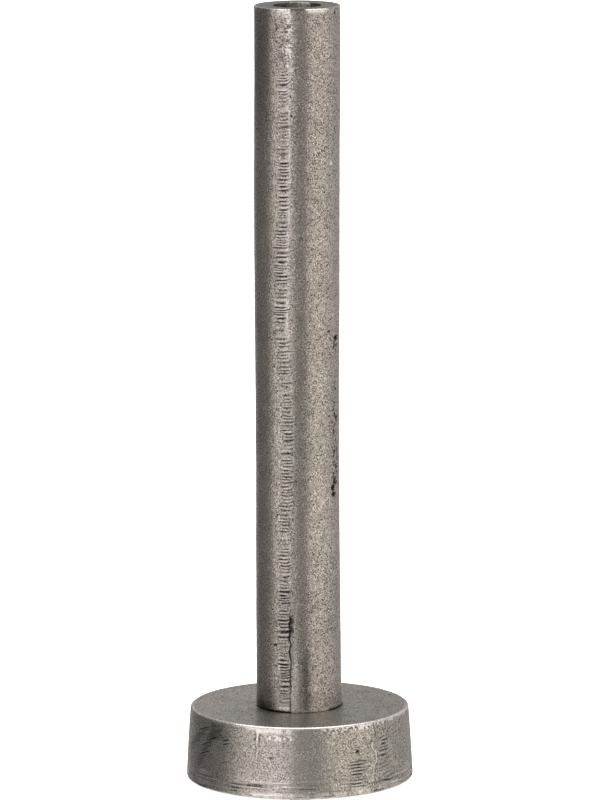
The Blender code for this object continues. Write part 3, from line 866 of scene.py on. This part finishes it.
def even_turn(columns):
    return np.linspace(0, 360, columns, endpoint=False)


def thread_shape(share):
    """Depth share of an ISO thread's flattened V, from 0 at the crest to 1 at the root, over one pitch."""
    wave = np.abs(((share % 1) - 0.5) * 2)
    return np.clip((wave - 0.12) / 0.70, 0, 1)


def turned_piece(name, rings, wears, capped=False):
    """A piece from rings that run down its outside, closed on themselves or capped at both ends."""
    surface = Surface()
    numbers = [surface.add(ring, wear_and_highlight) for ring, wear_and_highlight in zip(rings, wears)]
    surface.join(numbers if capped else numbers + numbers[:1])
    if capped:
        surface.faces += [tuple(numbers[0]), tuple(numbers[-1][::-1])]
    return surface.piece(name, ("wear_and_highlight", "grime_and_shade"))


def section_piece(name, turn, section):
    """A ring from its section's (radius, height, wear): top face, down the outside, and up the bore."""
    rings = [ring_points(radius, turn, height) for radius, height, _ in section]
    return turned_piece(name, rings, [wear_and_highlight for _, _, wear_and_highlight in section])


def make_stud():
    low, high = (corner[2] for corner in in_mm(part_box("threaded_stud")))
    turn = even_turn(48)
    rings = [ring_points(0.2, turn, high - 0.05), ring_points(1.6, turn, high)]
    wears = [0, 0]
    for height in np.linspace(high, low, int(round((high - low) / THREAD_PITCH * THREAD_ROWS))):
        depth = thread_shape(height / THREAD_PITCH - turn / 360)
        taper = max(0, 1 - min(height - low, high - height) / THREAD_LEAD_IN)
        radius = np.minimum(THREAD_CREST - THREAD_DEPTH * depth, THREAD_CREST - THREAD_LEAD_IN * taper)
        rings.append(ring_points(radius, turn, height))
        wears.append(0.8 - 1.2 * depth)
    rings += [ring_points(1.6, turn, low), ring_points(0.2, turn, low + 0.05)]
    return turned_piece("screwed_stud", rings, wears + [0, 0], capped=True)


def make_nut():
    low, high = (corner[2] for corner in in_mm(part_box("hex_nut")))
    turn = even_turn(144)
    hexagon = np.minimum(NUT_HALF_FLATS / np.cos(np.radians(np.abs((turn + 30) % 60 - 30))), NUT_CORNER)
    corner_wear = np.where(hexagon > 7.2, 0.8, 0.2)
    # The 30 degree chamfer cuts the corners towards both end faces
    sides = [(np.minimum(hexagon, NUT_FACE + depth / NUT_CHAMFER_SLOPE), depth) for depth in NUT_DEPTHS]
    section = [(radius, high, 0.15) for radius in NUT_FACE_RADII]
    section += [(radius, high - depth, corner_wear) for radius, depth in sides]
    section += [(radius, low + depth, corner_wear) for radius, depth in sides[::-1]]
    section += [(radius, low, 0.15) for radius in NUT_FACE_RADII[::-1]]
    section.append((NUT_BORE_MOUTH, low + 0.5, 0.3))
    section += [(NUT_BORE, height, 0.1) for height in np.linspace(low + 0.8, high - 0.8, 10)]
    section.append((NUT_BORE_MOUTH, high - 0.5, 0.3))
    return section_piece("hexagon_nut", turn, section)


def make_flat_washer():
    (_, _, low), (outer, _, high) = in_mm(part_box("flat_washer"))
    turn = even_turn(96)
    # A pressed washer is a little wavy towards its rim
    waves = 0.05 * np.sin(np.radians(turn * 2 + 40)) + 0.02 * np.sin(np.radians(turn * 5))

    def face(height, radii):
        lifts = [waves * (radius - WASHER_BORE) / (outer - WASHER_BORE) for radius in radii]
        return [(radius, np.clip(height + lift, low, high), 0.15) for radius, lift in zip(radii, lifts)]

    section = face(high, WASHER_FACE_RADII)
    for bend in np.radians([90, 67.5, 45, 22.5, 0]):
        drop = WASHER_ROUND * (1 - math.sin(bend))
        section.append((outer - WASHER_ROUND * (1 - math.cos(bend)), high - drop, 0.6))
    section += [(outer - 0.02, low + 0.9, 0.2), (outer, low + 0.25, 0.3), (outer - 0.10, low, 0.7)]
    section += face(low, WASHER_FACE_RADII[::-1])
    section += [(WASHER_BORE + 0.1, low + 0.02, 0.5), (WASHER_BORE, low + 0.3, 0.2)]
    section += [(WASHER_BORE, high - 0.35, 0.2), (WASHER_BORE + 0.25, high - 0.02, 0.5)]
    return section_piece("plain_washer", turn, section)


def make_spring_washer():
    """A split lock washer, pressed almost flat, one end a little above the other, its slit towards +X."""
    (_, _, low), (outer, _, high) = in_mm(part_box("spring_washer"))
    thick = (high - low) * SPRING_THICKNESS
    spare = (high - low) - thick
    outline = []
    # Each corner's radius and height share, which way it faces, and where its rounding starts
    for radius, level, side, face, start in (
        (outer, 0.50, 1, 1, 90),
        (outer, -0.50, 1, -1, 0),
        (SPRING_BORE, -0.47, -1, -1, -90),
        (SPRING_BORE, 0.47, -1, 1, 180),
    ):
        for bend in np.radians(start - np.array([0, 30, 60, 90])):
            across = radius + SPRING_ROUND * (math.cos(bend) - side)
            outline.append((across, thick * level + SPRING_ROUND * (math.sin(bend) - face)))
    radii, heights = np.array(outline).T
    surface = Surface()
    sections = []
    for share in np.linspace(0, 1, SPRING_SECTIONS):
        turn = 90 + SPRING_HALF_GAP + (360 - 2 * SPRING_HALF_GAP) * share
        # The slit is cut on the slant
        end = abs(math.cos(math.pi * share))
        slant = np.degrees(-0.40 * heights / radii) * (1 if end > 0.9 else end)
        level = (low + high) / 2 + heights + 0.98 * spare * (share - 0.5)
        sections.append(surface.add(ring_points(radii, turn + slant, level), 0.35))
    for here, beyond in zip(sections, sections[1:]):
        surface.faces += zip(here, turned(here), turned(beyond), beyond)
    surface.faces += [tuple(sections[0][::-1]), tuple(sections[-1])]
    piece = surface.piece("split_washer", ("wear_and_highlight", "grime_and_shade"))
    piece.data.set_sharp_from_angle(angle=math.radians(50))
    return piece


def make_pad(node, number):
    """A felt disc whose nap stands out in soft tufts, pressed a little flatter underneath."""
    low, high = in_mm(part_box(node))
    middle = np.array([(low[0] + high[0]) / 2, (low[1] + high[1]) / 2, low[2]])
    radius = (high[0] - low[0]) / 2
    thick = high[2] - low[2]
    turn = even_turn(72)
    outward = ring_points(1, turn, 0)
    section = [(radius * share, thick, -0.4) for share in PAD_SHARES]
    for bend in np.radians(np.linspace(90, -90, 9)):
        across = radius - PAD_EDGE + 0.10 * math.cos(bend)
        section.append((across, thick / 2 + (thick / 2 - 0.06) * math.sin(bend), 0))
    section += [(radius * share, 0, 0.8) for share in PAD_SHARES[::-1]]
    rings = []
    for across, height, press in section:
        place = ring_points(across, turn, height) + middle
        tuft = uneven(place, ((0.055, 0.55, 200 + number), (0.04, 1.3, 210 + number)))[:, None]
        rings.append(place + (np.abs(tuft) * press * np.array([0, 0, 1]) if press else tuft * outward))
    return turned_piece(f"felt_foot_{number}", rings, [0] * len(rings), capped=True)


# ---- materials
class Nodes:
    """Short calls for one material's node tree."""

    def __init__(self, name):
        self.material = bpy.data.materials.new(name)
        self.material.use_nodes = True
        self.tree = self.material.node_tree
        self.shader = self.tree.nodes["Principled BSDF"]
        self.coordinates = self.add("ShaderNodeTexCoord").outputs["Object"]

    def add(self, kind, settings=(), **inputs):
        """A new node. An input's name has _ for a space, and its value is a number or an output."""
        node = self.tree.nodes.new(kind)
        for key, value in dict(settings).items():
            setattr(node, key, value)
        self.feed(node, **inputs)
        return node

    def feed(self, node, **inputs):
        for key, value in inputs.items():
            self.plug(node.inputs[key.replace("_", " ")], value)

    def plug(self, socket, value):
        if hasattr(value, "is_output"):
            self.tree.links.new(value, socket)
        else:
            socket.default_value = value

    def math(self, operation, a, b, clamp=False):
        node = self.add("ShaderNodeMath", {"operation": operation, "use_clamp": clamp})
        self.plug(node.inputs[0], a)
        self.plug(node.inputs[1], b)
        return node.outputs[0]

    def times(self, a, b):
        return self.math("MULTIPLY", a, b)

    def noise(self, scale, detail=2.0, roughness=0.5, vector=None, distortion=0.0):
        vector = vector or self.coordinates
        settings = {"Scale": scale, "Detail": detail, "Roughness": roughness, "Distortion": distortion}
        return self.add("ShaderNodeTexNoise", Vector=vector, **settings).outputs["Fac"]

    def voronoi(self, scale):
        return self.add("ShaderNodeTexVoronoi", Vector=self.coordinates, Scale=scale).outputs["Distance"]

    def stretched(self, scale):
        return self.add("ShaderNodeMapping", Vector=self.coordinates, Scale=scale).outputs["Vector"]

    def remap(self, value, low, high, to_low=0.0, to_high=1.0):
        limits = {"From_Min": low, "From_Max": high, "To_Min": to_low, "To_Max": to_high}
        return self.add("ShaderNodeMapRange", {"clamp": True}, Value=value, **limits).outputs["Result"]

    def mix(self, share, a, b):
        return self.add("ShaderNodeMix", {"data_type": "RGBA"}, Factor=share, A=a, B=b).outputs["Result"]

    def attribute(self, name):
        return self.add("ShaderNodeAttribute", {"attribute_name": name}).outputs["Fac"]

    def bump(self, height, distance, **normal):
        return self.add("ShaderNodeBump", Height=height, Distance=distance, **normal).outputs["Normal"]


def rgb(r, g, b):
    return (r, g, b, 1.0)


def cast_metal(name, brushed=False):
    """Sand-cast aluminium: salt and pepper grain, dark oxide in the pores, rubbed bright where worn, and
    painted highlights and painted shade carried in the wear and grime shares.
    """
    n = Nodes(name)
    wear_and_highlight = n.attribute("wear_and_highlight")
    grime_and_shade = n.attribute("grime_and_shade")
    porous = n.attribute("porous")
    tone = n.noise(30.0, 1.0)
    blotch = n.noise(85.0)
    cloud = n.noise(230.0, 1.0)
    grain = n.noise(1700.0, 1.0)
    fine = n.noise(2600.0, 0.0)
    holes = n.voronoi(1150.0)
    patch = n.noise(150.0, 1.0)

    warm = n.mix(n.remap(blotch, 0.35, 0.65), rgb(0.400, 0.368, 0.338), rgb(0.460, 0.426, 0.392))
    olive = n.mix(n.remap(blotch, 0.35, 0.65), rgb(0.390, 0.378, 0.328), rgb(0.450, 0.436, 0.384))
    metal = n.mix(n.remap(tone, 0.40, 0.60), warm, olive)
    metal = n.mix(n.remap(cloud, 0.45, 0.75, 0.0, 0.30), metal, rgb(0.27, 0.250, 0.225))
    vivid = n.remap(patch, 0.35, 0.65, 0.60, 1.0)
    dark_grain = n.times(n.remap(grain, 0.545, 0.67), vivid)
    metal = n.mix(dark_grain, metal, rgb(0.175, 0.160, 0.142))
    light_grain = n.times(n.remap(grain, 0.46, 0.34, 0.0, 0.95), vivid)
    metal = n.mix(light_grain, metal, rgb(0.84, 0.80, 0.74))
    chosen = n.remap(n.math("ADD", n.noise(520.0, 1.0), n.times(porous, 0.30)), 0.44, 0.56)
    pore = n.times(n.remap(holes, 0.40, 0.26), chosen)
    metal = n.mix(n.times(pore, 0.90), metal, rgb(0.050, 0.045, 0.040))
    # The bright colour is worn metal and also painted highlights, on the rim's edge, on the base's top and
    # bottom edges and in the bore
    metal = n.mix(n.times(wear_and_highlight, 0.95), metal, rgb(0.95, 0.92, 0.88))
    # The dark colour is dirt and oxide and also painted shade, in the bore, in the crack's gouge and step,
    # beside the seam, in the dark band down the stem's front, at the rim's front and on the right of the
    # base's top
    metal = n.mix(grime_and_shade, metal, rgb(0.020, 0.018, 0.016))

    rough = n.remap(cloud, 0.3, 0.7, 0.25, 0.33)
    rough = n.math("ADD", rough, n.times(dark_grain, 0.35))
    rough = n.math("SUBTRACT", rough, n.times(wear_and_highlight, 0.06))
    rough = n.math("ADD", rough, n.times(grime_and_shade, 0.25), clamp=True)

    height = n.times(grain, -0.70)
    height = n.math("ADD", height, n.times(fine, 0.20))
    height = n.math("ADD", height, n.times(cloud, 0.6))
    height = n.math("SUBTRACT", height, n.times(pore, 0.8))
    normal = n.bump(height, 0.00010)
    if brushed:
        streak = n.noise(1.0, 2.0, 0.6, vector=n.stretched((26.0, 26.0, 1700.0)))
        normal = n.bump(streak, 0.00006, Normal=normal)
    n.feed(n.shader, Base_Color=metal, Metallic=1.0, Roughness=rough, Normal=normal)
    return n.material


def plated_steel(name):
    """Bright zinc plate with a faint blue cast, drawn marks, and duller recesses."""
    n = Nodes(name)
    wear_and_highlight = n.attribute("wear_and_highlight")
    spangle = n.voronoi(420.0)
    cloud = n.noise(350.0, 3.0, 0.6)
    fine = n.noise(2600.0, 2.0, 0.6)
    colour = n.mix(n.remap(cloud, 0.3, 0.7), rgb(0.46, 0.47, 0.49), rgb(0.62, 0.63, 0.64))
    colour = n.mix(n.remap(spangle, 0.0, 0.6, 0.0, 0.35), colour, rgb(0.52, 0.52, 0.50))
    colour = n.mix(n.times(wear_and_highlight, 0.6), colour, rgb(0.80, 0.80, 0.79))
    rough = n.math("SUBTRACT", n.remap(fine, 0.3, 0.7, 0.24, 0.40), n.times(wear_and_highlight, 0.08))
    height = n.math("ADD", n.times(fine, 0.5), n.times(cloud, 0.8))
    n.feed(n.shader, Base_Color=colour, Metallic=1.0, Roughness=rough, Normal=n.bump(height, 0.00003))
    return n.material


def felt(name):
    """Pale grey needle felt: matted fibres with paler ends and a soft sheen."""
    n = Nodes(name)
    fibre = n.noise(2600.0, 4.0, 0.75, distortion=1.4)
    mat = n.noise(700.0, 3.0, 0.6)
    colour = n.mix(n.remap(fibre, 0.35, 0.7), rgb(0.50, 0.48, 0.445), rgb(0.72, 0.70, 0.66))
    colour = n.mix(n.remap(mat, 0.45, 0.75, 0.0, 0.5), colour, rgb(0.56, 0.54, 0.50))
    height = n.math("ADD", n.times(fibre, 0.6), n.times(mat, 0.6))
    n.feed(n.shader, Base_Color=colour, Roughness=0.96, Normal=n.bump(height, 0.00022))
    n.feed(n.shader, Sheen_Weight=0.35, Sheen_Roughness=0.6)
    return n.material


def place(piece, node, slot, material):
    piece.data.materials.clear()
    piece.data.materials.append(material)
    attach(piece, "root")
    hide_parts(node)


place(make_stem(), "stem", "cast_aluminium", cast_metal("stem_metal"))
place(make_base(), "base", "cast_aluminium", cast_metal("base_metal", brushed=True))
place(make_stud(), "threaded_stud", "plated_steel", plated_steel("stud_zinc"))
place(make_nut(), "hex_nut", "plated_steel", plated_steel("nut_zinc"))
place(make_flat_washer(), "flat_washer", "plated_steel", plated_steel("washer_zinc"))
place(make_spring_washer(), "spring_washer", "plated_steel", plated_steel("split_washer_zinc"))
for pad in range(1, 5):
    place(make_pad(f"felt_pad_{pad}", pad), f"felt_pad_{pad}", "felt", felt(f"felt_{pad}"))


# ---- floor, light and camera, in metres
FLOOR_HALF = 9.0
FLOOR_DROP = 0.0001
FLOOR_GLOW = 0.82
LIGHT_AIM = Vector((0.0, 0.0, 0.18))
SUN_STRENGTH = 2.6
SUN_SPREAD = 70.0


def make_floor():
    mesh = bpy.data.meshes.new("studio_floor")
    corners = [(x * FLOOR_HALF, y * FLOOR_HALF, 0) for x, y in ((-1, -1), (1, -1), (1, 1), (-1, 1))]
    mesh.from_pydata(corners, [], [(0, 1, 2, 3)])
    floor = bpy.data.objects.new("studio_floor", mesh)
    bpy.context.scene.collection.objects.link(floor)
    floor.location.z = -FLOOR_DROP
    n = Nodes("pale_floor")
    colour = n.mix(n.noise(3.0), rgb(0.90, 0.90, 0.90), rgb(0.93, 0.93, 0.93))
    n.feed(n.shader, Base_Color=colour, Roughness=0.9, Specular_IOR_Level=0.0)
    n.feed(n.shader, Emission_Color=rgb(1.0, 1.0, 1.0), Emission_Strength=FLOOR_GLOW)
    mesh.materials.append(n.material)
    floor.visible_glossy = False
    floor.visible_shadow = False


def bearing(angle, elevation):
    """Unit vector from the object at an angle round from the front, and an elevation."""
    turn = math.radians(angle)
    up = math.radians(elevation)
    return Vector((math.sin(turn) * math.cos(up), -math.cos(turn) * math.cos(up), math.sin(up)))


def wall(name, start, end, radiance, tint, elevation=0.0, tall=4.2, distance=3.2):
    """A panel that faces the object and spans two angles. Radiance is what a mirror would show of it."""
    width = 2.0 * distance * math.tan(math.radians(end - start) / 2.0)
    light = bpy.data.lights.new(name, "AREA")
    light.shape = "RECTANGLE"
    light.size = width
    light.size_y = tall
    light.energy = radiance * math.pi * width * tall
    light.color = tint
    lamp = bpy.data.objects.new(name, light)
    bpy.context.scene.collection.objects.link(lamp)
    lamp.location = LIGHT_AIM + bearing((start + end) / 2.0, elevation) * distance
    lamp.rotation_euler = (LIGHT_AIM - lamp.location).to_track_quat("-Z", "Y").to_euler()
    lamp.visible_camera = False


def make_sky():
    """White to the camera, while the metal sees it dim at the level and brighter above and below."""
    world = bpy.data.worlds.new("studio")
    bpy.context.scene.world = world
    world.use_nodes = True
    nodes, links = world.node_tree.nodes, world.node_tree.links
    kinds = ("TexCoord", "SeparateXYZ", "ValToRGB", "MapRange", "LightPath", "Mix")
    direction, split, ramp, rescale, seen, mix = (nodes.new(f"ShaderNode{kind}") for kind in kinds)
    stops = ramp.color_ramp.elements
    stops[0].color = rgb(0.85, 0.83, 0.82)
    stops[1].color = rgb(0.6, 0.58, 0.575)
    for share in (0.38, 0.62):
        stops.new(share).color = rgb(0.185, 0.172, 0.172)
    rescale.inputs["From Min"].default_value = -1.0
    mix.data_type = "RGBA"
    mix.inputs["B"].default_value = rgb(1.05, 1.05, 1.05)
    links.new(direction.outputs["Generated"], split.inputs[0])
    links.new(split.outputs["Z"], rescale.inputs["Value"])
    links.new(rescale.outputs["Result"], ramp.inputs["Fac"])
    links.new(seen.outputs["Is Camera Ray"], mix.inputs["Factor"])
    links.new(ramp.outputs["Color"], mix.inputs["A"])
    links.new(mix.outputs["Result"], nodes["Background"].inputs["Color"])


wall("left_key", -38.0, -9.0, 0.89, (1.0, 0.930, 0.945))
wall("left_side", -72.0, -38.0, 0.78, (1.0, 0.935, 0.905))
wall("right_key", 28.0, 84.0, 0.82, (1.0, 0.935, 0.850))
wall("right_side", 84.0, 112.0, 0.62, (1.0, 0.945, 0.940))
wall("right_back", 112.0, 165.0, 0.37, (1.0, 0.950, 0.990))
wall("left_back", -182.0, -146.0, 0.28, (1.0, 0.980, 1.000))
wall("front_fill", -8.0, 28.0, 0.075, (1.0, 0.960, 0.950))
wall("back_high", 150.0, 210.0, 0.25, (1.0, 0.965, 0.950), elevation=25.0, tall=1.5, distance=3.4)

sun = bpy.data.lights.new("overhead", "SUN")
sun.energy = SUN_STRENGTH
sun.angle = math.radians(SUN_SPREAD)
bpy.context.scene.collection.objects.link(bpy.data.objects.new("overhead", sun))

make_sky()
make_floor()

bpy.context.scene.view_settings.view_transform = "Standard"

CAMERA_ELEVATION = 0.17161
CAMERA_DISTANCE = float(8.051 * CAST_HEIGHT * MM)
CAMERA_ROLL = -0.005714
CAMERA_LENS = 282.67
AIM_RIGHT = 1.09 * MM
AIM_UP = -3.10 * MM

target = Vector((0.0, 0.0, (UNDERSIDE + CAST_HEIGHT / 2) * MM))
forward = Vector((0.0, math.cos(CAMERA_ELEVATION), -math.sin(CAMERA_ELEVATION)))
sideways = Vector((1.0, 0.0, 0.0))
upward = Vector((0.0, math.sin(CAMERA_ELEVATION), math.cos(CAMERA_ELEVATION)))
rolled_right = math.cos(CAMERA_ROLL) * sideways + math.sin(CAMERA_ROLL) * upward
rolled_up = -math.sin(CAMERA_ROLL) * sideways + math.cos(CAMERA_ROLL) * upward
camera_place = target - CAMERA_DISTANCE * forward
aim = target + AIM_RIGHT * rolled_right + AIM_UP * rolled_up
back = (camera_place - aim).normalized()
right = rolled_up.cross(back).normalized()
up = back.cross(right)
camera_data = bpy.data.cameras.new("photo_camera")
camera_data.lens = CAMERA_LENS
camera_data.sensor_width = 36.0
camera = bpy.data.objects.new("photo_camera", camera_data)
bpy.context.scene.collection.objects.link(camera)
camera.matrix_world = Matrix.Translation(camera_place) @ Matrix((right, up, back)).transposed().to_4x4()
bpy.context.scene.camera = camera
